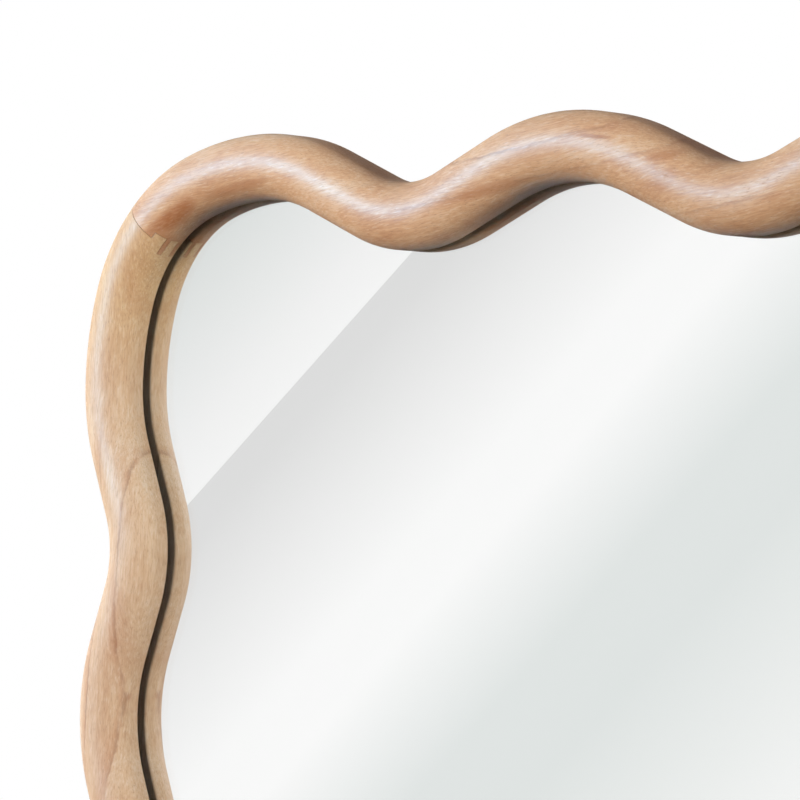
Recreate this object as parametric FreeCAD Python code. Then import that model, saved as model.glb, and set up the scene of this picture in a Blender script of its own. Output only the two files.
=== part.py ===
"""Wall mirror with a wavy solid-wood frame.

Four domed rails meet in glued finger joints under a mitred cap. The glass lies in a rebate behind the rails' lip,
with a foam sheet and a screwed back board behind it. D-ring hangers for both ways up and rubber wall bumpers sit on
the back.

Millimetres, +Z up. The front faces -Y and the wall plane, where the bumpers rest, is y = 0 at the mirror's centre.
Left and right are as seen from the front.
"""

import FreeCAD, Part
import math
import os

# Frame outline, measured on the rails' centre line unless said otherwise
overall_width = 700.0
overall_height = 1000.0
rail_width = 35.0
rail_waves = 2
stile_waves = 4
rail_wave_rise = 30.5
stile_wave_rise = 22.5
corner_reach = 117.0
corner_radius = 92.0
shoulder_turn = 18.5

# Shape of a wave: the steepest slope over the mean slope, and the crest's share of the crest and trough radii
slope_sharpness = 1.5
crest_share = 0.61

# Rail section: heights are measured forward from the face of the lip that the glass touches
front_height = 21.0
side_wall_height = 6.4
back_edge_round = 2.0
lip_width = 8.0
board_ledge = 7.0

# Glass and backing
glass_thickness = 5.0
glass_edge_clearance = 1.0
foam_thickness = 1.0
foam_inset = 2.0
board_thickness = 3.0
board_edge_clearance = 0.5

# Finger joint of a corner: the stile's thick fingers and the rail's thin ones lie flat under the stile's cap.
# A reach is how far a member runs past the mitre.
cap_thickness = 3.6
cap_reach = 3.4
stile_finger_reach = 7.5
rail_finger_reach = 3.7
rail_finger_thickness = 2.6
finger_pitch = 8.0
joint_glue_gap = 0.1

# Screws
board_screw_diameter = 3.0
board_screw_length = 12.0
board_screw_head = 6.0
board_screw_head_height = 1.8
strap_screw_diameter = 3.5
strap_screw_length = 16.0
strap_screw_head = 6.0
strap_screw_head_height = 1.8
screw_tip_length = 3.0
screw_clearance = 0.05
screw_hole_room = 0.2
recess_width = 0.8
recess_depth = 0.9
recess_share = 0.6

# D-ring hangers
strap_sheet = 1.0
strap_width = 10.0
strap_length = 30.0
strap_fold_gap = 0.15
strap_hole_near = 9.0
strap_hole_far = 22.5
ring_wire = 3.0
ring_bar_half = 6.0
ring_corner_radius = 2.5
ring_side_length = 5.0
ring_bar_clearance = 0.06
ring_rest_gap = 0.3

# Wall bumpers
bumper_height = 6.0
bumper_base_diameter = 13.0
bumper_face_diameter = 11.0
bumper_edge_round = 0.8

# Places worked out from the sizes above
Vector = FreeCAD.Vector
FRONT = Vector(0, -1, 0)
Y_AXIS = Vector(0, 1, 0)
half_rail = rail_width / 2
rebate_depth = glass_thickness + foam_thickness + board_thickness
back_y = -bumper_height
lip_y = back_y - rebate_depth
rebate_offset = lip_width - half_rail
land_offset = rebate_offset + board_ledge
land_middle = (land_offset + half_rail - back_edge_round) / 2
rail_run = overall_width - rail_width - 2 * corner_reach
stile_run = overall_height - rail_width - 2 * corner_reach
rail_crest_z = (overall_height - rail_width) / 2
stile_crest_x = (overall_width - rail_width) / 2
ring_half_width = ring_bar_half + ring_corner_radius
ring_reach = ring_corner_radius + ring_side_length + ring_half_width
strap_bore = ring_wire / 2 + ring_bar_clearance
ring_axis_height = strap_bore + strap_sheet
strap_height = 2 * strap_sheet + strap_fold_gap
ring_lean = math.degrees(math.asin((ring_axis_height - ring_wire / 2 - ring_rest_gap) / ring_reach))


# The centre line is a chain of steps: ("arc", radius, turn) or ("line", length).
# It is walked clockwise as seen from the front, so the outside is always on the left.
# Headings and turns are in degrees, and a positive turn bends to the right.


def direction(heading):
    angle = math.radians(heading)
    return Vector(math.cos(angle), 0, math.sin(angle))


def outward(heading):
    return direction(heading + 90)


def arc_centre(point, heading, step):
    side = -1 if step[2] > 0 else 1
    return point + outward(heading) * side * step[1]


def advance(point, heading, step, share=1.0):
    """Point and heading after a share of one step."""
    if step[0] == "line":
        return point + direction(heading) * step[1] * share, heading
    centre = arc_centre(point, heading, step)
    turned = heading - step[2] * share
    return centre + outward(turned) * math.copysign(step[1], step[2]), turned


def wave_steps(run, waves, rise):
    """Arcs and straight slopes of a row of equal waves, from crest to crest."""
    half_wave = run / waves / 2
    slope = slope_sharpness * math.atan(rise / half_wave)
    bow = 1 - math.cos(slope)
    radii = (half_wave * math.sin(slope) - rise * math.cos(slope)) / bow
    straight = (rise * math.sin(slope) - half_wave * bow) / bow
    turn = math.degrees(slope)
    crest = ("arc", radii * crest_share, turn)
    trough = ("arc", radii * (1 - crest_share), -2 * turn)
    return [crest, ("line", straight), trough, ("line", straight), crest] * waves


def corner_steps():
    """Half a corner, from the mitre to the first crest: the corner arc, then the flatter shoulder."""
    tilt = math.radians(shoulder_turn)
    bend = math.cos(tilt) - math.sin(tilt)
    shoulder_radius = (corner_reach - bend * corner_radius) / (1 - bend)
    return [("arc", corner_radius, 45 - shoulder_turn), ("arc", shoulder_radius, shoulder_turn)]


def member(first_crest, heading, run, waves, rise):
    """Every step of one rail or stile from mitre to mitre, each with its start point and heading."""
    corner = corner_steps()
    steps = corner + wave_steps(run, waves, rise) + corner[::-1]
    start = Vector(0, 0, 0)
    turned = heading + 45
    for step in corner:
        start, turned = advance(start, turned, step)
    point = first_crest - start
    turned = heading + 45
    path = []
    for step in steps:
        path.append((point, turned, step))
        point, turned = advance(point, turned, step)
    return path


def frame_members():
    """Paths of the four members, clockwise from the left stile."""
    rail = (rail_run, rail_waves, rail_wave_rise)
    stile = (stile_run, stile_waves, stile_wave_rise)
    return {
        "left_stile": member(Vector(-stile_crest_x, lip_y, -stile_run / 2), 90, *stile),
        "top_rail": member(Vector(-rail_run / 2, lip_y, rail_crest_z), 0, *rail),
        "right_stile": member(Vector(stile_crest_x, lip_y, stile_run / 2), -90, *stile),
        "bottom_rail": member(Vector(rail_run / 2, lip_y, -rail_crest_z), -180, *rail),
    }


def polyline(points):
    return [Part.makeLine(a, b) for a, b in zip(points, points[1:])]


def dome(outer, top, inner):
    """Half an ellipse from the outer side over the top to the inner side, whichever axis is the longer."""
    centre = (outer + inner) / 2
    if (outer - centre).Length >= (top - centre).Length:
        return Part.ArcOfEllipse(Part.Ellipse(outer, top, centre), 0, math.pi).toShape()
    return Part.ArcOfEllipse(Part.Ellipse(top, inner, centre), -math.pi / 2, math.pi / 2).toShape()


def rail_section(point, heading):
    """Section of a rail: domed front, lip, glass rebate, board ledge and flat back."""
    side = outward(heading)

    def at(offset, height):
        return point + side * offset + FRONT * height

    outer = at(half_rail, side_wall_height)
    inner = at(-half_rail, side_wall_height)
    ledge_height = board_thickness - rebate_depth
    round_start = at(half_rail - back_edge_round, -rebate_depth)
    round_end = at(half_rail, back_edge_round - rebate_depth)
    round_slack = back_edge_round * (1 - math.sqrt(0.5))
    round_middle = at(half_rail - round_slack, round_slack - rebate_depth)
    edges = [dome(outer, at(0, front_height), inner)]
    edges += polyline([
        inner,
        at(-half_rail, 0),
        at(rebate_offset, 0),
        at(rebate_offset, ledge_height),
        at(land_offset, ledge_height),
        at(land_offset, -rebate_depth),
        round_start,
    ])
    edges.append(Part.Arc(round_start, round_middle, round_end).toShape())
    edges.append(Part.makeLine(round_end, outer))
    return Part.Face(Part.Wire(edges))


def rail_blank(path):
    """One member: its section turned about each arc's centre and drawn along each straight, past both mitres."""
    overrun = math.degrees((stile_finger_reach + rail_finger_reach) / (corner_radius - half_rail))
    start_point, start_heading, start_step = path[0]
    start_centre = arc_centre(start_point, start_heading, start_step)
    end_point, end_heading = advance(*path[-1])
    pieces = [
        rail_section(start_point, start_heading).revolve(start_centre, Y_AXIS, -overrun),
        rail_section(end_point, end_heading).revolve(arc_centre(*path[-1]), Y_AXIS, overrun),
    ]
    for point, heading, step in path:
        section = rail_section(point, heading)
        if step[0] == "line":
            pieces.append(section.extrude(direction(heading) * step[1]))
        else:
            pieces.append(section.revolve(arc_centre(point, heading, step), Y_AXIS, step[2]))
    return pieces[0].multiFuse(pieces[1:]).removeSplitter()


def cylinder_about(middle, axis, radius, length):
    return Part.makeCylinder(radius, length, middle - axis * length / 2, axis)


def joint_layers():
    """Layers of a finger joint from the front back: each one's front height and how far the stile reaches in it."""
    layers = [(front_height, cap_reach)]
    front = front_height - cap_thickness
    while front > -rebate_depth:
        layers.append((front, stile_finger_reach))
        layers.append((front - finger_pitch + rail_finger_thickness, -rail_finger_reach))
        front -= finger_pitch
    return layers


def joint_half(point, heading, stile_first, member):
    """The stile's or the rail's side of a finger joint with half the glue gap, which the other member loses.

    stile_first says whether the walk round the frame comes to the mitre along the stile.
    """
    side = 1 if member == "stile" else -1
    reach = 2 * rail_width
    gap = side * joint_glue_gap / 2
    along = direction(heading) * (1 if stile_first else -1)
    layers = joint_layers()
    outline = [(-side * reach, front_height + reach), (layers[0][1] + gap, front_height + reach)]
    for (_, reach_above), (front, reach_below) in zip(layers, layers[1:]):
        level = front + math.copysign(gap, side * (reach_below - reach_above))
        outline += [(reach_above + gap, level), (reach_below + gap, level)]
    outline += [(layers[-1][1] + gap, -rebate_depth - reach), (-side * reach, -rebate_depth - reach)]
    low_side = point - outward(heading) * reach
    corners = [low_side + along * distance + FRONT * height for distance, height in outline]
    return Part.Face(Part.makePolygon(corners + corners[:1])).extrude(outward(heading) * 2 * reach)


def panel(members, offset, front_height_at, thickness):
    """A flat sheet that follows the frame's waves at an offset from the centre line."""
    edges = []
    for path in members.values():
        for point, heading, step in path:
            stops = [advance(point, heading, step, share) for share in (0, 0.5, 1)]
            places = [place + outward(turned) * offset + FRONT * front_height_at for place, turned in stops]
            if step[0] == "line":
                edges.append(Part.makeLine(places[0], places[2]))
            else:
                edges.append(Part.Arc(*places).toShape())
    return Part.Face(Part.Wire(edges)).extrude(Y_AXIS * thickness)


def pan_screw(diameter, length, head, head_height):
    """Pan-head wood screw with its seat at the origin, its head towards +Y and its shank towards -Y."""
    shank = Part.makeCylinder(diameter / 2, length - screw_tip_length, Vector(0, 0, 0), FRONT)
    tip_start = FRONT * (length - screw_tip_length)
    tip = Part.makeCone(diameter / 2, diameter / 8, screw_tip_length, tip_start, FRONT)
    cap = Part.makeCylinder(head / 2, head_height, Vector(0, 0, 0), Y_AXIS)
    rim = [edge for edge in cap.Edges if edge.BoundBox.YMin > head_height / 2]
    cap = cap.makeFillet(head_height / 2, rim)
    span = head * recess_share
    floor = head_height - recess_depth
    for width, height in ((span, recess_width), (recess_width, span)):
        cap = cap.cut(Part.makeBox(width, recess_depth, height, Vector(-width / 2, floor, -height / 2)))
    return shank.fuse([tip, cap])


def board_screw_places(members):
    """Seats of the board screws: the middle of every slope, over the middle of the ledge."""
    offset = (rebate_offset + land_offset) / 2
    places = []
    for path in members.values():
        for point, heading, step in path:
            if step[0] == "line":
                middle, turned = advance(point, heading, step, 0.5)
                places.append(middle + outward(turned) * offset + FRONT * -rebate_depth)
    return places


def hanger_places():
    """Turn about Y and place of each hanger: the point under the ring's bar, on the frame's back."""
    shift = (strap_length - ring_reach) / 2
    stile_x = stile_crest_x + land_middle
    stile_z = stile_run / 2 - stile_run / stile_waves + shift
    rail_x = -rail_run / 2 - shift
    rail_z = rail_crest_z + land_middle
    return {
        "left": (0, Vector(-stile_x, back_y, stile_z)),
        "right": (0, Vector(stile_x, back_y, stile_z)),
        "top": (-90, Vector(rail_x, back_y, rail_z)),
        "bottom": (-90, Vector(rail_x, back_y, -rail_z)),
    }


def placed(shape, turn, place):
    moved = shape.copy()
    moved.rotate(Vector(0, 0, 0), Y_AXIS, turn)
    moved.translate(place)
    return moved


def strap_screw_seats():
    return [Vector(0, strap_height, -distance) for distance in (strap_hole_near, strap_hole_far)]


def hanger_strap():
    """A steel strip folded round the ring's bar, with its two layers screwed flat to the wood."""
    half = strap_width / 2
    end = half - strap_length
    plan = polyline([Vector(-half, 0, end), Vector(-half, 0, 0), Vector(half, 0, 0), Vector(half, 0, end)])
    plan.append(Part.Arc(Vector(half, 0, end), Vector(0, 0, -strap_length), Vector(-half, 0, end)).toShape())
    layer = Part.Face(Part.Wire(plan)).extrude(Y_AXIS * strap_sheet)
    upper = layer.translated(Y_AXIS * (strap_sheet + strap_fold_gap))
    bar_middle = Y_AXIS * ring_axis_height
    across = Vector(1, 0, 0)
    barrel = cylinder_about(bar_middle, across, ring_axis_height, strap_width)
    strap = barrel.fuse([layer, upper])
    strap = strap.cut(cylinder_about(bar_middle, across, strap_bore, strap_width * 2))
    hole = strap_screw_diameter / 2 + screw_hole_room
    for seat in strap_screw_seats():
        strap = strap.cut(cylinder_about(seat, Y_AXIS, hole, strap_height * 4))
    return strap


def hanger_ring():
    """A D-shaped ring of round wire, leaning on the wood."""
    bar = ring_bar_half
    shoulder = ring_corner_radius
    wide = ring_half_width
    side_end = shoulder + ring_side_length
    diagonal = shoulder * math.sqrt(0.5)

    def at(x, z):
        return Vector(x, ring_axis_height, z)

    def corner(side):
        return [at(side * bar, 0), at(side * (bar + diagonal), shoulder - diagonal), at(side * wide, shoulder)]

    edges = [
        Part.makeLine(at(0, 0), at(bar, 0)),
        Part.Arc(*corner(1)).toShape(),
        Part.makeLine(at(wide, shoulder), at(wide, side_end)),
        Part.Arc(at(wide, side_end), at(0, ring_reach), at(-wide, side_end)).toShape(),
        Part.makeLine(at(-wide, side_end), at(-wide, shoulder)),
        Part.Arc(*corner(-1)[::-1]).toShape(),
        Part.makeLine(at(-bar, 0), at(0, 0)),
    ]
    wire_section = Part.Wire(Part.makeCircle(ring_wire / 2, at(0, 0), Vector(1, 0, 0)))
    ring = Part.Wire(edges).makePipeShell([wire_section], True, True)
    ring.rotate(at(0, 0), Vector(1, 0, 0), ring_lean)
    return ring


def wall_bumper():
    """A rubber pad with its base on the frame's back and its flat face on the wall plane."""
    cone = Part.makeCone(bumper_base_diameter / 2, bumper_face_diameter / 2, bumper_height, Vector(0, 0, 0), Y_AXIS)
    rim = [edge for edge in cone.Edges if edge.BoundBox.YMin > bumper_height / 2]
    return cone.makeFillet(bumper_edge_round, rim)


def bumper_places():
    across = stile_crest_x + land_middle
    up = stile_run / 2
    return {
        "top_left": Vector(-across, back_y, up),
        "top_right": Vector(across, back_y, up),
        "bottom_left": Vector(-across, back_y, -up),
        "bottom_right": Vector(across, back_y, -up),
    }


def drill(shape, bores):
    """The shape without the bores that reach it."""
    near = [bore for bore in bores if bore.BoundBox.intersect(shape.BoundBox)]
    return shape.cut(near) if near else shape


def build():
    members = frame_members()
    shapes = {}
    stile_halves = []
    rail_halves = []
    for name, path in members.items():
        point, heading, _ = path[0]
        stile_first = name.endswith("rail")
        stile_halves.append(joint_half(point, heading, stile_first, "stile"))
        rail_halves.append(joint_half(point, heading, stile_first, "rail"))

    board_seats = board_screw_places(members)
    pilot = board_screw_diameter / 2 + screw_clearance
    board_holes = [cylinder_about(seat, Y_AXIS, pilot, board_screw_length * 2) for seat in board_seats]
    cuts = list(board_holes)

    strap = hanger_strap()
    ring = hanger_ring()
    strap_screw = pan_screw(strap_screw_diameter, strap_screw_length, strap_screw_head, strap_screw_head_height)
    strap_pilot = strap_screw_diameter / 2 + screw_clearance
    for side, (turn, place) in hanger_places().items():
        shapes["hanger_strap_" + side] = placed(strap, turn, place)
        shapes["hanger_ring_" + side] = placed(ring, turn, place)
        seats = strap_screw_seats()
        screws = Part.makeCompound([strap_screw.translated(seat) for seat in seats])
        shapes["hanger_screws_" + side] = placed(screws, turn, place)
        pilots = [cylinder_about(seat, Y_AXIS, strap_pilot, strap_screw_length * 2) for seat in seats]
        cuts += [placed(bore, turn, place) for bore in pilots]

    for name, path in members.items():
        other_halves = stile_halves if name.endswith("rail") else rail_halves
        shapes[name] = drill(rail_blank(path), cuts + other_halves)

    shapes["mirror_glass"] = panel(members, rebate_offset - glass_edge_clearance, 0, glass_thickness)
    shapes["foam_sheet"] = panel(members, rebate_offset - foam_inset, -glass_thickness, foam_thickness)
    board = panel(members, land_offset - board_edge_clearance, board_thickness - rebate_depth, board_thickness)
    hole = board_screw_diameter / 2 + screw_hole_room
    shapes["back_board"] = board.cut([cylinder_about(seat, Y_AXIS, hole, rebate_depth) for seat in board_seats])
    board_screw = pan_screw(board_screw_diameter, board_screw_length, board_screw_head, board_screw_head_height)
    shapes["back_board_screws"] = Part.makeCompound([board_screw.translated(seat) for seat in board_seats])

    for corner, place in bumper_places().items():
        shapes["wall_bumper_" + corner] = wall_bumper().translated(place)
    return shapes


os.makedirs("parts", exist_ok=True)
for node, shape in build().items():
    shape.exportStep("parts/" + node + ".step")
    print(node, len(shape.Solids), "solids", round(shape.Volume / 1000, 2), "cm3", shape.isValid())
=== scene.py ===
"""Looks of the wavy wooden wall mirror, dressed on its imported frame.

Metres, +Z up. The front faces -Y and the wall plane is y = 0.
Left and right are as seen from the front.
"""

import math

import bmesh
import bpy
from mathutils import Matrix, Vector


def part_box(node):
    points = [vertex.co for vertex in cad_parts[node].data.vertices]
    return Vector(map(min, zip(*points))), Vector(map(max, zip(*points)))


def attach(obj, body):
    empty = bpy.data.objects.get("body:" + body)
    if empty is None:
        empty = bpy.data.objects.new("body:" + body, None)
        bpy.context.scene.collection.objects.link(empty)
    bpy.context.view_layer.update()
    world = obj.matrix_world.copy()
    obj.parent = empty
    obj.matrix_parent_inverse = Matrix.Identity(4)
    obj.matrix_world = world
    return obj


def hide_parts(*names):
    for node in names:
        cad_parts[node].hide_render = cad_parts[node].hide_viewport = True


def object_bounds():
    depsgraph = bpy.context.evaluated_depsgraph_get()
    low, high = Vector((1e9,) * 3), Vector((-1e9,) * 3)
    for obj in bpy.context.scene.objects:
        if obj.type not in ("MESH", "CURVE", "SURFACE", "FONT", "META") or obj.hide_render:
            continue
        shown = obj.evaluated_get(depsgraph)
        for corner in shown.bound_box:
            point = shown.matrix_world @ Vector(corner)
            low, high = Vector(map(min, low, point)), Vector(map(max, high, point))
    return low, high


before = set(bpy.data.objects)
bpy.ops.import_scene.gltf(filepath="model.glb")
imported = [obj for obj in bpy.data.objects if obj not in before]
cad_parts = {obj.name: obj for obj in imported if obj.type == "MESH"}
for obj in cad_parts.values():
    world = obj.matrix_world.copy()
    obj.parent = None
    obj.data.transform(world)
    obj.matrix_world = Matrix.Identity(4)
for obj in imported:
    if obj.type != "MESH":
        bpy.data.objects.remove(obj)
cad_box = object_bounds()

# Frame outline, measured on the rails' centre line
rail_width = 0.035
rail_waves = 2
stile_waves = 4
rail_wave_rise = 0.0305
stile_wave_rise = 0.0225
corner_reach = 0.117
corner_radius = 0.092
shoulder_turn = math.radians(18.5)
slope_sharpness = 1.5
crest_share = 0.61

# Rail section
side_wall_height = 0.0064
back_edge_round = 0.002
lip_width = 0.008
board_ledge = 0.007
lip_arris_round = 0.0013

# Finger joint of a corner: thick stile fingers and thin rail fingers, flat under the stile's cap
cap_thickness = 0.0036
cap_reach = 0.0034
stile_finger_reach = 0.0075
rail_finger_reach = 0.0037
rail_finger_thickness = 0.0026
finger_pitch = 0.008
joint_glue_line = 0.0003

# Glass in its rebate
glass_edge_clearance = 0.001
glass_face_clearance = 0.0001
silver_clearance = 0.00005

# Fineness of the meshes
station_spacing = 0.0025
dome_facets = 44
round_facets = 5
sharp_angle = math.radians(32)

# Places taken from the frame
overall_width = cad_box[1].x - cad_box[0].x
overall_height = cad_box[1].z - cad_box[0].z
lip_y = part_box("mirror_glass")[0].y
silver_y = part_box("mirror_glass")[1].y
ledge_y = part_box("back_board")[0].y
back_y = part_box("top_rail")[1].y
front_height = lip_y - cad_box[0].y
rebate_depth = back_y - lip_y
ledge_height = lip_y - ledge_y
half_rail = rail_width / 2
rebate_offset = lip_width - half_rail
land_offset = rebate_offset + board_ledge
rail_run = overall_width - rail_width - 2 * corner_reach
stile_run = overall_height - rail_width - 2 * corner_reach
rail_crest_z = (overall_height - rail_width) / 2
stile_crest_x = (overall_width - rail_width) / 2

# Grain of the wood and screen pattern of the back board
ring_sway = 0.002
ring_waver = 0.0022
ring_zigzag = 0.0018
fibre_wander = 0.005
screen_radians_per_metre = 3900.0

# Camera of the photograph
camera_place = Vector((1.08353, -1.28509, 0.32863))
camera_turn = math.radians(43.439)
camera_rise = math.radians(0.963)
camera_roll = math.radians(0.871)
camera_lens = 152.82
camera_sensor = 36.0

# Studio
floor_radius = 2.6
floor_drop = 0.002
floor_sides = 96
floor_fade = (0.35 * floor_radius, 0.98 * floor_radius)
sweep_panels = 90
sweep_radius = 6.0
sweep_low = -4.0
sweep_high = 5.0
streak_tilt = math.radians(40.63)
streak_edge = -4.012
streak_repeat = 2.15
sweep_fill = 0.015
flag_left = -5.5
flag_right = 1.5
flag_y = 3.0
flag_low = 0.8
flag_high = 6.0
ground_fade = (-0.5, 0.05)
ambient_fill = 0.085
softbox_size = 1.6
lamp_aim = (-0.15, 0, 0.35)


# The centre line is a chain of steps, each a length and a curve in 1/m that is positive to the right.
# It is walked clockwise as seen from the front, so the outside is always on the left.


def direction(heading):
    return Vector((math.cos(heading), 0, math.sin(heading)))


def outward(heading):
    return direction(heading + math.pi / 2)


def advance(point, heading, curve, distance):
    """Point and heading after a distance along a step."""
    if curve == 0:
        return point + direction(heading) * distance, heading
    turned = heading - curve * distance
    return point + (outward(turned) - outward(heading)) / curve, turned


def arc(radius, turn):
    return radius * abs(turn), math.copysign(1 / radius, turn)


def wave_steps(run, waves, rise):
    """Crests, straight slopes and troughs of a row of equal waves."""
    half_wave = run / waves / 2
    slope = slope_sharpness * math.atan(rise / half_wave)
    bow = 1 - math.cos(slope)
    radii = (half_wave * math.sin(slope) - rise * math.cos(slope)) / bow
    straight = ((rise * math.sin(slope) - half_wave * bow) / bow, 0)
    crest = arc(radii * crest_share, slope)
    trough = arc(radii * (1 - crest_share), -2 * slope)
    return [crest, straight, trough, straight, crest] * waves


def corner_steps():
    """Half a corner, from the mitre to the first crest: the corner arc, then the flatter shoulder."""
    bend = math.cos(shoulder_turn) - math.sin(shoulder_turn)
    shoulder_radius = (corner_reach - bend * corner_radius) / (1 - bend)
    return [arc(corner_radius, math.pi / 4 - shoulder_turn), arc(shoulder_radius, shoulder_turn)]


def member_path(first_crest, heading, run, waves, rise):
    """Every step of one rail or stile from mitre to mitre, each with its start point and heading."""
    corner = corner_steps()
    reach = Vector()
    turned = heading + math.pi / 4
    for length, curve in corner:
        reach, turned = advance(reach, turned, curve, length)
    point = first_crest - reach
    turned = heading + math.pi / 4
    path = []
    for length, curve in corner + wave_steps(run, waves, rise) + corner[::-1]:
        path.append((point, turned, curve, length))
        point, turned = advance(point, turned, curve, length)
    return path


def frame_paths():
    """Paths of the four members at the glass's face, clockwise from the left stile."""
    rail = (rail_run, rail_waves, rail_wave_rise)
    stile = (stile_run, stile_waves, stile_wave_rise)
    left = Vector((-stile_crest_x, lip_y, -stile_run / 2))
    top = Vector((-rail_run / 2, lip_y, rail_crest_z))
    right = Vector((stile_crest_x, lip_y, stile_run / 2))
    bottom = Vector((rail_run / 2, lip_y, -rail_crest_z))
    return {
        "left_stile": member_path(left, math.pi / 2, *stile),
        "top_rail": member_path(top, 0, *rail),
        "right_stile": member_path(right, -math.pi / 2, *stile),
        "bottom_rail": member_path(bottom, -math.pi, *rail),
    }


def stations(path):
    """Places at even spacing along a path, each a point and a heading."""
    places = []
    for point, heading, curve, length in path:
        count = math.ceil(length / station_spacing)
        places += [advance(point, heading, curve, length * i / count) for i in range(count)]
    return places


def round_points(across, height, radius, start, end):
    """Points of a rounded edge in a rail's section, between two angles in degrees."""
    turns = [math.radians(start + (end - start) * i / round_facets) for i in range(round_facets + 1)]
    return [(across + radius * math.cos(turn), height + radius * math.sin(turn)) for turn in turns]


def rail_section():
    """Section of a rail as (offset outward, height in front of the glass)."""
    crown = front_height - side_wall_height
    edge = back_edge_round
    arris = lip_arris_round
    points = round_points(half_rail - edge, edge - rebate_depth, edge, -90, 0)
    for i in range(dome_facets + 1):
        turn = math.pi * (0.5 - i / dome_facets)
        points.append((half_rail * math.sin(turn), side_wall_height + crown * math.cos(turn)))
    points += round_points(arris - half_rail, arris, arris, 180, 270)
    points += [
        (rebate_offset, 0),
        (rebate_offset, ledge_height),
        (land_offset, ledge_height),
        (land_offset, -rebate_depth),
    ]
    return points


def new_piece(name, points, faces, finishes, finish_of_face=None):
    """A mesh piece with smooth faces, sharp arrises and outward normals."""
    mesh = bpy.data.meshes.new(name)
    mesh.from_pydata(points, [], faces)
    for finish in finishes:
        mesh.materials.append(finish)
    if finish_of_face:
        mesh.polygons.foreach_set("material_index", finish_of_face)
    shell = bmesh.new()
    shell.from_mesh(mesh)
    bmesh.ops.recalc_face_normals(shell, faces=shell.faces)
    shell.to_mesh(mesh)
    shell.free()
    mesh.shade_smooth()
    mesh.set_sharp_from_angle(angle=sharp_angle)
    piece = bpy.data.objects.new(name, mesh)
    bpy.context.scene.collection.objects.link(piece)
    return piece


def joint_layers():
    """Layers of a finger joint, front first: each one's front height and how far the stile reaches."""
    layers = [(front_height, cap_reach)]
    front = front_height - cap_thickness
    while front > -rebate_depth:
        layers.append((front, stile_finger_reach))
        layers.append((front - finger_pitch + rail_finger_thickness, -rail_finger_reach))
        front -= finger_pitch
    return layers


def joint_half(place, heading, stile_first, member):
    """One member's side of a finger joint with half the glue line, to be cut from the other member.

    member is stile or rail. stile_first says whether the walk comes to the mitre along the stile.
    """
    side = 1 if member == "stile" else -1
    margin = 2 * rail_width
    gap = side * joint_glue_line / 2
    along = direction(heading) * (1 if stile_first else -1)
    layers = joint_layers()
    outline = [(-side * margin, front_height + margin), (layers[0][1] + gap, front_height + margin)]
    for (_, reach_above), (front, reach_below) in zip(layers, layers[1:]):
        level = front + math.copysign(gap, side * (reach_below - reach_above))
        outline += [(reach_above + gap, level), (reach_below + gap, level)]
    outline += [(layers[-1][1] + gap, -rebate_depth - margin), (-side * margin, -rebate_depth - margin)]
    count = len(outline)
    points = []
    for across in (-margin, margin):
        points += [
            place + outward(heading) * across + along * distance - Vector((0, height, 0))
            for distance, height in outline
        ]
    faces = [list(range(count)), list(range(count, 2 * count))]
    for i in range(count):
        j = (i + 1) % count
        faces.append([i, j, j + count, i + count])
    return new_piece("joint_block", points, faces, [])


def joint_blocks(paths, member):
    """That member's side of all four finger joints. Each joint is at the start of a path."""
    return [joint_half(*path[0][:2], name.endswith("rail"), member) for name, path in paths.items()]


def drawn_out(path):
    """The path with both ends run past the mitres by what the fingers need."""
    overrun = stile_finger_reach + rail_finger_reach
    point, heading, curve, length = path[0]
    start, turned = advance(point, heading, curve, -overrun)
    end_point, end_heading, end_curve, end_length = path[-1]
    first = (start, turned, curve, length + overrun)
    last = (end_point, end_heading, end_curve, end_length + overrun)
    return [first] + path[1:-1] + [last]


def cut_away(piece, blocks):
    """Takes the blocks out of a piece."""
    for block in blocks:
        cut = piece.modifiers.new("joint", "BOOLEAN")
        cut.operation = "DIFFERENCE"
        cut.solver = "EXACT"
        cut.object = block
    shaped = bpy.data.meshes.new_from_object(piece.evaluated_get(bpy.context.evaluated_depsgraph_get()))
    piece.modifiers.clear()
    piece.data = shaped
    shaped.shade_smooth()
    shaped.set_sharp_from_angle(angle=sharp_angle)


def rail_piece(name, path, finish, blocks):
    """One member: its section carried along its path, less the blocks of the members that it meets."""
    long_path = drawn_out(path)
    places = stations(long_path)
    places.append(advance(*long_path[-1]))
    section = rail_section()
    around = len(section)
    points = []
    for place, turned in places:
        side = outward(turned)
        points += [place + side * offset - Vector((0, height, 0)) for offset, height in section]
    faces = [list(range(around)), list(range(len(points) - around, len(points)))]
    for i in range(len(places) - 1):
        for j in range(around):
            a = i * around + j
            b = i * around + (j + 1) % around
            faces.append([a, b, b + around, a + around])
    piece = new_piece(name, points, faces, [finish])
    cut_away(piece, blocks)
    return piece


def mirror_pane(paths, clear_glass, silver):
    """The pane: clear glass with a silvered back face, following the waves inside the rebate."""
    edge_offset = rebate_offset - glass_edge_clearance
    outline = []
    for path in paths.values():
        outline += [place + outward(turned) * edge_offset for place, turned in stations(path)]
    front_y = lip_y + glass_face_clearance
    back_face_y = silver_y - silver_clearance
    count = len(outline)
    points = [(p.x, front_y, p.z) for p in outline] + [(p.x, back_face_y, p.z) for p in outline]
    faces = [list(range(count)), list(range(count, 2 * count))]
    for i in range(count):
        j = (i + 1) % count
        faces.append([i, j, j + count, i + count])
    silvered = [0, 1] + [0] * count
    return new_piece("mirror_pane", points, faces, [clear_glass, silver], silvered)


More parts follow.
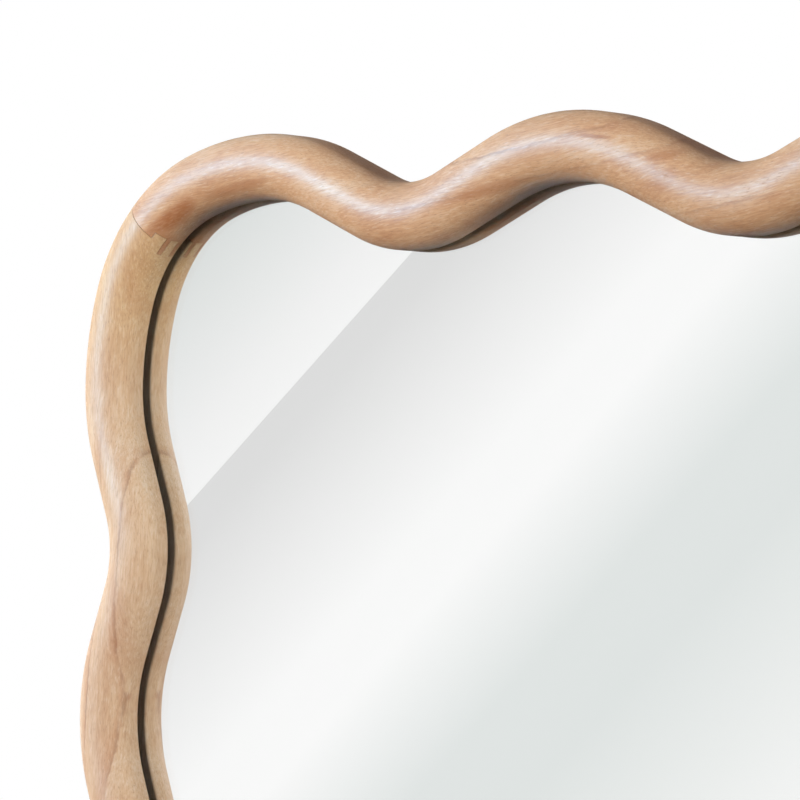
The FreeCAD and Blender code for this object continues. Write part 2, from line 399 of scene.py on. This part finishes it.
class Wire:
    """An output socket of a finish. Arithmetic on it adds Math nodes, and node() adds any other."""

    def __init__(self, tree, socket=None):
        self.tree = tree
        self.socket = socket

    def node(self, kind, settings=None, sockets=None, output=0):
        """Adds a node, makes its settings, fills or links its sockets, and returns one output."""
        made = self.tree.nodes.new("ShaderNode" + kind)
        for name, value in (settings or {}).items():
            if name == "stops":
                set_stops(made.color_ramp, value)
            else:
                setattr(made, name, value)
        for name, value in (sockets or {}).items():
            if isinstance(value, Wire):
                self.tree.links.new(value.socket, made.inputs[name])
            else:
                made.inputs[name].default_value = value
        return Wire(self.tree, made.outputs[output] if made.outputs else None)

    def math(self, operation, first, second=0.0):
        return self.node("Math", {"operation": operation}, {0: first, 1: second})

    def __add__(self, other):
        return self.math("ADD", self, other)

    def __sub__(self, other):
        return self.math("SUBTRACT", self, other)

    def __rsub__(self, other):
        return self.math("SUBTRACT", other, self)

    def __mul__(self, other):
        return self.math("MULTIPLY", self, other)

    def __truediv__(self, other):
        return self.math("DIVIDE", self, other)

    def __rtruediv__(self, other):
        return self.math("DIVIDE", other, self)

    def __pow__(self, other):
        return self.math("POWER", self, other)

    def __rpow__(self, other):
        return self.math("POWER", other, self)

    __radd__ = __add__
    __rmul__ = __mul__

    def fraction(self):
        return self.math("FRACT", self)

    def floor(self):
        return self.math("FLOOR", self)

    def sine(self):
        return self.math("SINE", self)

    def larger(self, other):
        return self.math("MAXIMUM", self, other)

    def smaller(self, other):
        return self.math("MINIMUM", self, other)

    def below(self, other):
        return self.math("LESS_THAN", self, other)

    def ramped(self, low, high):
        """0 below low, 1 above high and a smooth slope between."""
        sockets = {"Value": self, "From Min": low, "From Max": high}
        return self.node("MapRange", {"interpolation_type": "SMOOTHSTEP"}, sockets)


def set_stops(ramp, stops):
    """Gives a colour ramp its (position, colour) stops."""
    while len(ramp.elements) < len(stops):
        ramp.elements.new(1.0)
    for element, (position, colour) in zip(ramp.elements, stops):
        element.position = position
        element.color = colour


def paint(red, green, blue):
    """A colour given 0 to 255, in the linear values that shaders take."""

    def linear(level):
        share = level / 255
        return share / 12.92 if share <= 0.04045 else ((share + 0.055) / 1.055) ** 2.4

    return linear(red), linear(green), linear(blue), 1.0


def mixed(first, second, share, way="MIX"):
    """Two colours mixed by a share; either colour, or the share, may vary."""
    wire = next(value for value in (share, first, second) if isinstance(value, Wire))
    settings = {"data_type": "RGBA", "blend_type": way}
    return wire.node("Mix", settings, {0: share, 6: first, 7: second}, 2)


def noise(wire, place, scale, detail=2.0, roughness=0.5):
    sockets = {"Vector": place, "Scale": scale, "Detail": detail, "Roughness": roughness}
    return wire.node("TexNoise", {}, sockets)


def grain(wire, parts, lengthwise_scale, cross_scale, detail=2.0):
    """Noise drawn out along the grain. parts are the place along, across and through it."""
    along, across, through = parts
    sockets = {"X": along * lengthwise_scale, "Y": across * cross_scale, "Z": through * cross_scale}
    return noise(wire, wire.node("CombineXYZ", {}, sockets), 1.0, detail)


def new_finish(name):
    """An empty material and the first wire of its tree."""
    finish = bpy.data.materials.new(name)
    finish.use_nodes = True
    finish.node_tree.nodes.clear()
    return finish, Wire(finish.node_tree)


def surface(wire, sockets):
    """Ends a finish in one glossy-over-matt surface."""
    shader = wire.node("BsdfPrincipled", {}, sockets)
    wire.node("OutputMaterial", {}, {"Surface": shader})


def object_place(wire):
    """Place on the piece, and its three parts."""
    place = wire.node("TexCoord", {}, {}, "Object")
    return place, [wire.node("SeparateXYZ", {}, {"Vector": place}, axis) for axis in "XYZ"]


def growth_rings(wire, along, across, through, pith, ring_width):
    """Shares of thin dark line and of soft brown shade at each ring's end, worn away in stretches."""
    pith_across, pith_through = pith
    parts = (along, across, through)
    reach = ((across - pith_across) ** 2 + (through - pith_through) ** 2) ** 0.5
    sway = (grain(wire, parts, 7.0, 16.0, 1.0) - 0.5) * ring_sway
    waver = (grain(wire, parts, 48.0, 70.0) - 0.5) * ring_waver
    zigzag = (grain(wire, parts, 240.0, 160.0, 1.0) - 0.5) * ring_zigzag
    ring = (reach + sway + waver + zigzag) / ring_width
    place_in_ring = ring.fraction()
    ring_start = 1 - place_in_ring.ramped(0.955, 1.0)
    chance = wire.node("TexWhiteNoise", {"noise_dimensions": "1D"}, {"W": ring.floor()})
    ring_strength = chance.ramped(-0.2, 0.7)
    worn = grain(wire, parts, 26.0, 150.0, 3.0).ramped(0.36, 0.58)
    blot = grain(wire, parts, 34.0, 110.0).ramped(0.32, 0.66)
    line = place_in_ring.ramped(0.85, 0.95) * ring_start * worn * ring_strength
    shade = place_in_ring.ramped(0.3, 0.96) * ring_start * blot * ring_strength
    return line, shade


def brown_figure(along, across, figure):
    """Share of one soft brown figure or patch of painted shade, strongest in its middle and gone at its
    rim.
    """
    figure_along, figure_across, half_length, half_width, lean, strength = figure
    forward = along - figure_along
    sideways = across - figure_across - forward * lean
    reach = (forward / half_length) ** 2 + (sideways / half_width) ** 2
    return (1 - reach.ramped(0.05, 1.0)) * strength


def frame_wood(
    name, lengthwise_axis, tones, drift, figures, pith, ring_width, ring_reach, grain_lean, board
):
    """Oiled pale hardwood from one board: growth rings, fibres, pores, cloudy tones, brown figures and
    patches of painted shade.

    tones are its dark, middle and pale colours. drift tints it from its low or left end, 0, to its
    other end, 1. pith is the heart of the log in the board's section, across and through. ring_reach
    is where along the board the rings begin to show and where they show in full. grain_lean is how
    far the grain runs out of the board's length. board is a number that makes it unlike the others.
    """
    finish, wire = new_finish(name)
    _, (x, y, z) = object_place(wire)
    along, across, length = (x, z, overall_width) if lengthwise_axis == "X" else (z, x, overall_height)
    across = across - along * grain_lean
    shifted = along + board
    wander = grain(wire, (shifted, across, y), 30.0, 60.0, 1.0)
    parts = (shifted, across + (wander - 0.5) * fibre_wander, y)
    cloud = grain(wire, parts, 9.0, 50.0, 3.0)
    mottle = grain(wire, parts, 75.0, 190.0)
    fibre = grain(wire, parts, 45.0, 1000.0, 3.0)
    stroke = grain(wire, parts, 180.0, 1200.0)
    fine_fibre = grain(wire, parts, 90.0, 2600.0)
    pore = grain(wire, parts, 300.0, 2800.0, 1.0).ramped(0.62, 0.75)
    line, shade = growth_rings(wire, along, across, y, pith, ring_width)
    ring_contrast = along.ramped(*ring_reach) * 0.85 + 0.15
    figure_and_shade_share = brown_figure(along, across, figures[0])
    for figure in figures[1:]:
        figure_and_shade_share = figure_and_shade_share.larger(brown_figure(along, across, figure))

    ring_shade_brown = paint(176, 118, 86)
    ring_line_brown = paint(124, 76, 52)
    dark_stroke = paint(164, 116, 84)
    pale_stroke = paint(228, 208, 188)
    fibre_brown = paint(172, 128, 98)
    figure_and_shade_brown = paint(158, 94, 54)
    pore_brown = paint(128, 86, 60)
    dark, middle, pale = tones
    stops = [(0.34, dark), (0.5, middle), (0.66, pale)]
    tone = cloud * 0.45 + mottle * 0.2 + fibre * 0.35
    colour = wire.node("ValToRGB", {"stops": stops}, {"Fac": tone})
    tint = wire.node("ValToRGB", {"stops": drift}, {"Fac": along / length + 0.5})
    colour = mixed(colour, tint, 1.0, "MULTIPLY")
    colour = mixed(colour, ring_shade_brown, shade * ring_contrast * 0.36)
    colour = mixed(colour, ring_line_brown, line * fibre.ramped(0.25, 0.55) * ring_contrast * 0.44)
    colour = mixed(colour, dark_stroke, stroke.ramped(0.52, 0.78) * 0.42)
    colour = mixed(colour, pale_stroke, stroke.ramped(0.48, 0.24) * 0.3)
    colour = mixed(colour, fibre_brown, fine_fibre.ramped(0.48, 0.78) * 0.3)
    # Brown figures; on the top rail some are painted shade over the finger roots and under the first rising
    # slope
    colour = mixed(colour, figure_and_shade_brown, figure_and_shade_share * (0.5 + fibre.ramped(0.3, 0.62) * 0.4))
    colour = mixed(colour, pore_brown, pore * 0.4)

    height = fibre * 0.7 + stroke * 0.9 + fine_fibre * 0.4 - pore * 0.6
    normal = wire.node("Bump", {}, {"Strength": 0.22, "Distance": 0.0004, "Height": height})
    surface(wire, {
        "Base Color": colour,
        "Specular IOR Level": 0.22,
        "Roughness": 0.38 + stroke * 0.1 + pore * 0.1,
        "Normal": normal,
    })
    return finish


def clear_glass():
    """Clear float glass with the faintest green and a trace of wiping haze."""
    finish, wire = new_finish("clear_glass")
    place, _ = object_place(wire)
    haze = noise(wire, place, 14.0, 3.0)
    surface(wire, {
        "Base Color": mixed(paint(255, 255, 255), paint(254, 255, 254), haze),
        "Roughness": 0.0,
        "IOR": 1.52,
        "Transmission Weight": 1.0,
    })
    return finish


def mirror_silver():
    """The silvered back of the pane."""
    finish, wire = new_finish("mirror_silver")
    place, _ = object_place(wire)
    tone = noise(wire, place, 5.0, 2.0)
    surface(wire, {
        "Base Color": mixed(paint(253, 253, 253), paint(254, 254, 254), tone),
        "Metallic": 1.0,
        "Roughness": 0.0,
    })
    return finish


def foam_finish():
    """Closed-cell foam behind the glass."""
    finish, wire = new_finish("backing_foam")
    place, _ = object_place(wire)
    sockets = {"Vector": place, "Scale": 700.0}
    cell = wire.node("TexVoronoi", {"feature": "F1"}, sockets)
    colour = mixed(paint(236, 236, 232), paint(216, 216, 210), (cell * 1.4).ramped(0.0, 1.0))
    normal = wire.node("Bump", {}, {"Strength": 0.3, "Distance": 0.0002, "Height": cell})
    surface(wire, {"Base Color": colour, "Roughness": 0.8, "Normal": normal})
    return finish


def hardboard():
    """Brown hardboard with matted fibres and the fine screen pattern pressed into its back."""
    finish, wire = new_finish("back_hardboard")
    place, (x, _, z) = object_place(wire)
    cloud = noise(wire, place, 18.0, 4.0, 0.6)
    fibre = noise(wire, place, 420.0, 4.0, 0.7)
    fleck = noise(wire, place, 900.0, 2.0).ramped(0.62, 0.72)
    weave = (x * screen_radians_per_metre).sine() * (z * screen_radians_per_metre).sine()
    relief = weave * 0.3 + fibre
    colour = mixed(paint(142, 101, 65), paint(152, 110, 72), cloud.ramped(0.3, 0.7))
    colour = mixed(colour, paint(98, 66, 40), fibre.ramped(0.5, 0.72) * 0.7)
    colour = mixed(colour, paint(192, 154, 112), fleck * 0.5)
    normal = wire.node("Bump", {}, {"Strength": 0.35, "Distance": 0.0003, "Height": relief})
    surface(wire, {"Base Color": colour, "Roughness": 0.68 + cloud * 0.15, "Normal": normal})
    return finish


def zinc_steel(name, tint, spangle_scale):
    """Bright zinc plating with a cloudy spangle and fine tumbling scratches."""
    finish, wire = new_finish(name)
    place, parts = object_place(wire)
    cloud = noise(wire, place, spangle_scale, 3.0)
    scratch = grain(wire, parts, 300.0, 3000.0)
    colour = mixed(tint, paint(226, 228, 230), cloud.ramped(0.35, 0.7))
    normal = wire.node("Bump", {}, {"Strength": 0.08, "Distance": 0.0001, "Height": scratch})
    surface(wire, {
        "Base Color": colour,
        "Metallic": 1.0,
        "Roughness": 0.26 + cloud * 0.16,
        "Normal": normal,
    })
    return finish


def bumper_rubber():
    """Dark moulded rubber with a dusty bloom."""
    finish, wire = new_finish("bumper_rubber")
    place, _ = object_place(wire)
    bloom = noise(wire, place, 240.0, 3.0)
    grit = noise(wire, place, 2200.0, 2.0)
    colour = mixed(paint(44, 43, 42), paint(70, 68, 66), bloom.ramped(0.4, 0.75))
    normal = wire.node("Bump", {}, {"Strength": 0.2, "Distance": 0.0001, "Height": grit})
    surface(wire, {"Base Color": colour, "Roughness": 0.62 + bloom * 0.2, "Normal": normal})
    return finish


def floor_finish():
    """Pale studio floor that fades into the background at its rim."""
    finish, wire = new_finish("studio_floor")
    place, (x, y, _) = object_place(wire)
    cloud = noise(wire, place, 3.0, 3.0)
    rim = ((x ** 2 + y ** 2) ** 0.5).ramped(*floor_fade)
    colour = mixed(paint(243, 242, 240), paint(248, 247, 246), cloud)
    matt = wire.node("BsdfPrincipled", {}, {"Base Color": colour, "Roughness": 0.7})
    clear = wire.node("BsdfTransparent")
    shader = wire.node("MixShader", {}, {0: rim, 1: matt, 2: clear})
    wire.node("OutputMaterial", {}, {"Surface": shader})
    return finish


def sweep_finish():
    """White studio sweep with soft slanting shades, which only the mirror and shiny surfaces see."""
    finish, wire = new_finish("studio_sweep")
    _, (x, y, z) = object_place(wire)
    bearing = x.math("ARCTAN2", x, 0.0 - y)
    slant = bearing * (sweep_radius * math.cos(streak_tilt)) - z * math.sin(streak_tilt)
    share = ((slant - streak_edge) / streak_repeat).fraction()
    stops = [
        (0.0, paint(222, 222, 222)),
        (0.03, paint(223, 223, 223)),
        (0.11, paint(237, 237, 237)),
        (0.2, paint(250, 250, 250)),
        (0.26, paint(251, 251, 251)),
        (0.38, paint(226, 230, 229)),
        (0.47, paint(225, 229, 228)),
        (0.6, paint(237, 239, 238)),
        (0.74, paint(250, 250, 250)),
        (0.84, paint(222, 225, 224)),
        (0.96, paint(242, 242, 242)),
        (1.0, paint(246, 246, 246)),
    ]
    colour = wire.node("ValToRGB", {"stops": stops}, {"Fac": share})
    fill = wire.node("Emission", {}, {"Color": colour, "Strength": sweep_fill})
    white = wire.node("Emission", {}, {"Color": colour, "Strength": 1.0})
    shader = wire.node("MixShader", {}, {0: seen_clearly(wire), 1: fill, 2: white})
    wire.node("OutputMaterial", {}, {"Surface": shader})
    return finish


def flag_finish():
    """Mid-grey felt of the flag, which edges turned up and to the right reflect."""
    finish, wire = new_finish("studio_flag")
    place, _ = object_place(wire)
    nap = noise(wire, place, 6.0, 2.0)
    colour = mixed(paint(136, 132, 128), paint(150, 146, 142), nap)
    glow = wire.node("Emission", {}, {"Color": colour, "Strength": 1.0})
    wire.node("OutputMaterial", {}, {"Surface": glow})
    return finish


def seen_clearly(wire):
    """1 on a path that met no matt surface and an odd number of shiny ones, so the wood gains no light.

    A path off the mirror turns once on the silver, or three times inside the pane. One that turns on
    both the wood and the silver stays dark.
    """
    matt_turns = wire.node("LightPath", {}, {}, "Diffuse Depth")
    shiny_turns = wire.node("LightPath", {}, {}, "Glossy Depth")
    return matt_turns.below(1.0) * (shiny_turns * 0.5).fraction() * 2


def reflected_only(piece):
    """Stage that glossy surfaces see and nothing else does."""
    piece.visible_camera = False
    piece.visible_diffuse = False
    piece.visible_shadow = False
    piece.visible_volume_scatter = False


def studio_flag():
    """A grey card high up behind the mirror, mostly to the left."""
    points = [
        (flag_left, flag_y, flag_low),
        (flag_right, flag_y, flag_low),
        (flag_right, flag_y, flag_high),
        (flag_left, flag_y, flag_high),
    ]
    reflected_only(new_piece("studio_flag", points, [[0, 1, 2, 3]], [flag_finish()]))


def studio_floor():
    """A pale round floor just under the frame."""
    level = cad_box[0].z - floor_drop
    turns = [2 * math.pi * i / floor_sides for i in range(floor_sides)]
    points = [(floor_radius * math.cos(turn), floor_radius * math.sin(turn), level) for turn in turns]
    floor = new_piece("studio_floor", points, [list(range(floor_sides))], [floor_finish()])
    floor.visible_diffuse = False
    floor.visible_glossy = False


def studio_sweep():
    """A curved white wall in front of the mirror, behind every camera."""
    points = []
    for i in range(sweep_panels + 1):
        bearing = math.pi * (i / sweep_panels - 0.5)
        x = sweep_radius * math.sin(bearing)
        y = -sweep_radius * math.cos(bearing)
        points += [(x, y, sweep_low), (x, y, sweep_high)]
    faces = [[2 * i, 2 * i + 2, 2 * i + 3, 2 * i + 1] for i in range(sweep_panels)]
    reflected_only(new_piece("studio_sweep", points, faces, [sweep_finish()]))


def softbox(name, place, aim, size, brightness, colour=(1.0, 1.0, 1.0), glint=False):
    """A soft square lamp that no camera sees. A glint lamp only shines, any other only lights."""
    lamp = bpy.data.lights.new(name, "AREA")
    lamp.shape = "SQUARE"
    lamp.size = size
    lamp.energy = brightness * math.pi * size ** 2
    lamp.color = colour
    holder = bpy.data.objects.new(name, lamp)
    holder.location = place
    holder.rotation_euler = (Vector(aim) - Vector(place)).to_track_quat("-Z", "Y").to_euler()
    holder.visible_camera = False
    holder.visible_diffuse = not glint
    holder.visible_glossy = glint
    holder.visible_transmission = False
    bpy.context.scene.collection.objects.link(holder)


def studio_world(ambient):
    """White to the camera, the mirror and what shines, less so from below, over a low warm fill."""
    world = bpy.data.worlds.new("studio")
    world.use_nodes = True
    world.node_tree.nodes.clear()
    wire = Wire(world.node_tree)
    seen = wire.node("LightPath", {}, {}, "Is Glossy Ray")
    seen = seen.larger(wire.node("LightPath", {}, {}, "Is Transmission Ray")) * seen_clearly(wire)
    through_glass = wire.node("LightPath", {}, {}, "Transmission Depth")
    toward = wire.node("TexCoord", {}, {}, "Generated")
    height = wire.node("SeparateXYZ", {}, {"Vector": toward}, "Z")
    seen = seen * height.ramped(*ground_fade).larger(through_glass)
    seen = seen.larger(wire.node("LightPath", {}, {}, "Is Camera Ray")).smaller(1.0)
    white = wire.node("Background", {}, {"Color": (1.0, 1.0, 1.0, 1.0), "Strength": 1.0})
    fill = wire.node("Background", {}, {"Color": paint(255, 160, 108), "Strength": ambient})
    shader = wire.node("MixShader", {}, {0: seen, 1: fill, 2: white})
    wire.node("OutputWorld", {}, {"Surface": shader})
    bpy.context.scene.world = world


def photo_camera():
    lens = bpy.data.cameras.new("photo_camera")
    lens.lens = camera_lens
    lens.sensor_width = camera_sensor
    camera = bpy.data.objects.new("photo_camera", lens)
    camera.matrix_world = (
        Matrix.Translation(camera_place)
        @ Matrix.Rotation(camera_turn, 4, "Z")
        @ Matrix.Rotation(math.pi / 2 + camera_rise, 4, "X")
        @ Matrix.Rotation(camera_roll, 4, "Z")
    )
    bpy.context.scene.collection.objects.link(camera)
    bpy.context.scene.camera = camera


def dress(nodes, finish):
    """Gives carried-over pieces their finish."""
    for node in nodes:
        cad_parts[node].data.materials.clear()
        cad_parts[node].data.materials.append(finish)


def place_frame():
    """The four wooden members and the pane that they hold."""
    rosy = (paint(186, 135, 98), paint(206, 161, 123), paint(217, 183, 152))
    fawn = (paint(194, 155, 121), paint(208, 174, 143), paint(220, 197, 173))
    even = [(0.0, paint(250, 247, 243)), (0.5, paint(255, 255, 255)), (1.0, paint(249, 246, 240))]
    yellow_end = [
        (0.0, paint(250, 245, 242)),
        (0.71, paint(250, 245, 242)),
        (0.775, paint(255, 255, 255)),
        (0.83, paint(253, 250, 247)),
        (0.87, paint(249, 242, 235)),
        (0.92, paint(248, 238, 215)),
    ]
    # Brown figures, on the top rail partly painted shade: middle along and across, half length, half width,
    # lean and strength
    left_figures = [(0.233, -0.325, 0.03, 0.007, 0.0, 0.3), (0.42, -0.335, 0.02, 0.005, 0.0, 0.25)]
    top_figures_and_painted_shade = [
        (-0.276, 0.4955, 0.024, 0.006, 0.32, 0.95),
        # Painted shade over the finger roots by the mitre, on brown that is partly the wood's own
        (-0.29, 0.484, 0.011, 0.008, 0.3, 0.7),
        (-0.227, 0.5023, 0.036, 0.0034, 0.01, 0.5),
        (-0.042, 0.4685, 0.03, 0.004, 0.05, 0.5),
        # Painted shade on the underside of the first rising slope, partly a real brown figure
        (-0.042, 0.455, 0.034, 0.01, 0.15, 0.6),
        (0.068, 0.464, 0.014, 0.003, 0.0, 0.5),
        (0.026, 0.481, 0.014, 0.0014, -0.25, 0.7),
    ]
    right_figures = [(-0.2, 0.33, 0.008, 0.004, 0.0, 0.5), (0.14, 0.325, 0.02, 0.004, 0.0, 0.5)]
    bottom_figures = [(0.12, -0.46, 0.02, 0.005, 0.1, 0.5), (-0.16, -0.47, 0.014, 0.004, 0.0, 0.5)]
    woods = {
        "left_stile": frame_wood(
            "left_stile_wood", "Z", fawn, yellow_end, left_figures,
            pith=(-0.4, -0.025), ring_width=0.01856, ring_reach=(0.345, 0.325), grain_lean=0.06, board=3.7,
        ),
        "top_rail": frame_wood(
            "top_rail_wood", "X", rosy, even, top_figures_and_painted_shade,
            pith=(-0.4964, 0.264), ring_width=0.0163, ring_reach=(-0.118, -0.1), grain_lean=0.14, board=1.3,
        ),
        "right_stile": frame_wood(
            "right_stile_wood", "Z", fawn, even, right_figures,
            pith=(0.42, 0.33), ring_width=0.011, ring_reach=(-0.3, 0.1), grain_lean=-0.03, board=6.1,
        ),
        "bottom_rail": frame_wood(
            "bottom_rail_wood", "X", rosy, even, bottom_figures,
            pith=(-0.4, 0.36), ring_width=0.014, ring_reach=(-0.2, 0.1), grain_lean=-0.05, board=8.9,
        ),
    }
    paths = frame_paths()
    stile_blocks = joint_blocks(paths, "stile")
    rail_blocks = joint_blocks(paths, "rail")
    for name, path in paths.items():
        other_blocks = stile_blocks if name.endswith("rail") else rail_blocks
        rail = rail_piece(name + "_shaped", path, woods[name], other_blocks)
        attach(rail, "frame")
        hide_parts(name)
    for block in stile_blocks + rail_blocks:
        bpy.data.objects.remove(block)
    pane = mirror_pane(paths, clear_glass(), mirror_silver())
    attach(pane, "frame")
    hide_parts("mirror_glass")


def dress_back():
    """Finishes of the pieces behind the frame."""
    sides = ("left", "right", "top", "bottom")
    corners = ("top_left", "top_right", "bottom_left", "bottom_right")
    dress(["foam_sheet"], foam_finish())
    dress(["back_board"], hardboard())
    straps = ["hanger_strap_" + side for side in sides]
    rings = ["hanger_ring_" + side for side in sides]
    screws = ["back_board_screws"] + ["hanger_screws_" + side for side in sides]
    dress(straps, zinc_steel("strap_zinc", paint(188, 190, 192), 260.0))
    dress(rings, zinc_steel("ring_zinc", paint(198, 199, 200), 500.0))
    dress(screws, zinc_steel("screw_zinc", paint(196, 190, 176), 700.0))
    dress(["wall_bumper_" + corner for corner in corners], bumper_rubber())


place_frame()
dress_back()
studio_floor()
studio_sweep()
studio_flag()
studio_world(ambient_fill)
softbox("left_softbox", (-2.76, -0.46, 1.76), lamp_aim, softbox_size, 10.4, (0.36, 0.69, 1.0))
softbox("front_left_softbox", (-2.74, -1.49, 0.61), lamp_aim, softbox_size, 8.4, (1.0, 0.87, 0.66))
softbox("front_softbox", (-0.76, -2.87, 0.97), lamp_aim, softbox_size, 9.6, (0.77, 0.89, 0.97))
softbox("right_softbox", (5.85, -0.56, 0.35), lamp_aim, 0.8, 170.0, (0.92, 1.0, 0.99))
softbox("back_softbox", (0, 3, 0.2), (0, 0, 0), softbox_size, 9.0)
softbox("shine_softbox", (-2.15, -2.145, 1.06), (-0.15, 0, 0.4), 0.68, 144.0, (0.27, 0.67, 1.0), True)
photo_camera()
bpy.context.scene.view_settings.view_transform = "Standard"
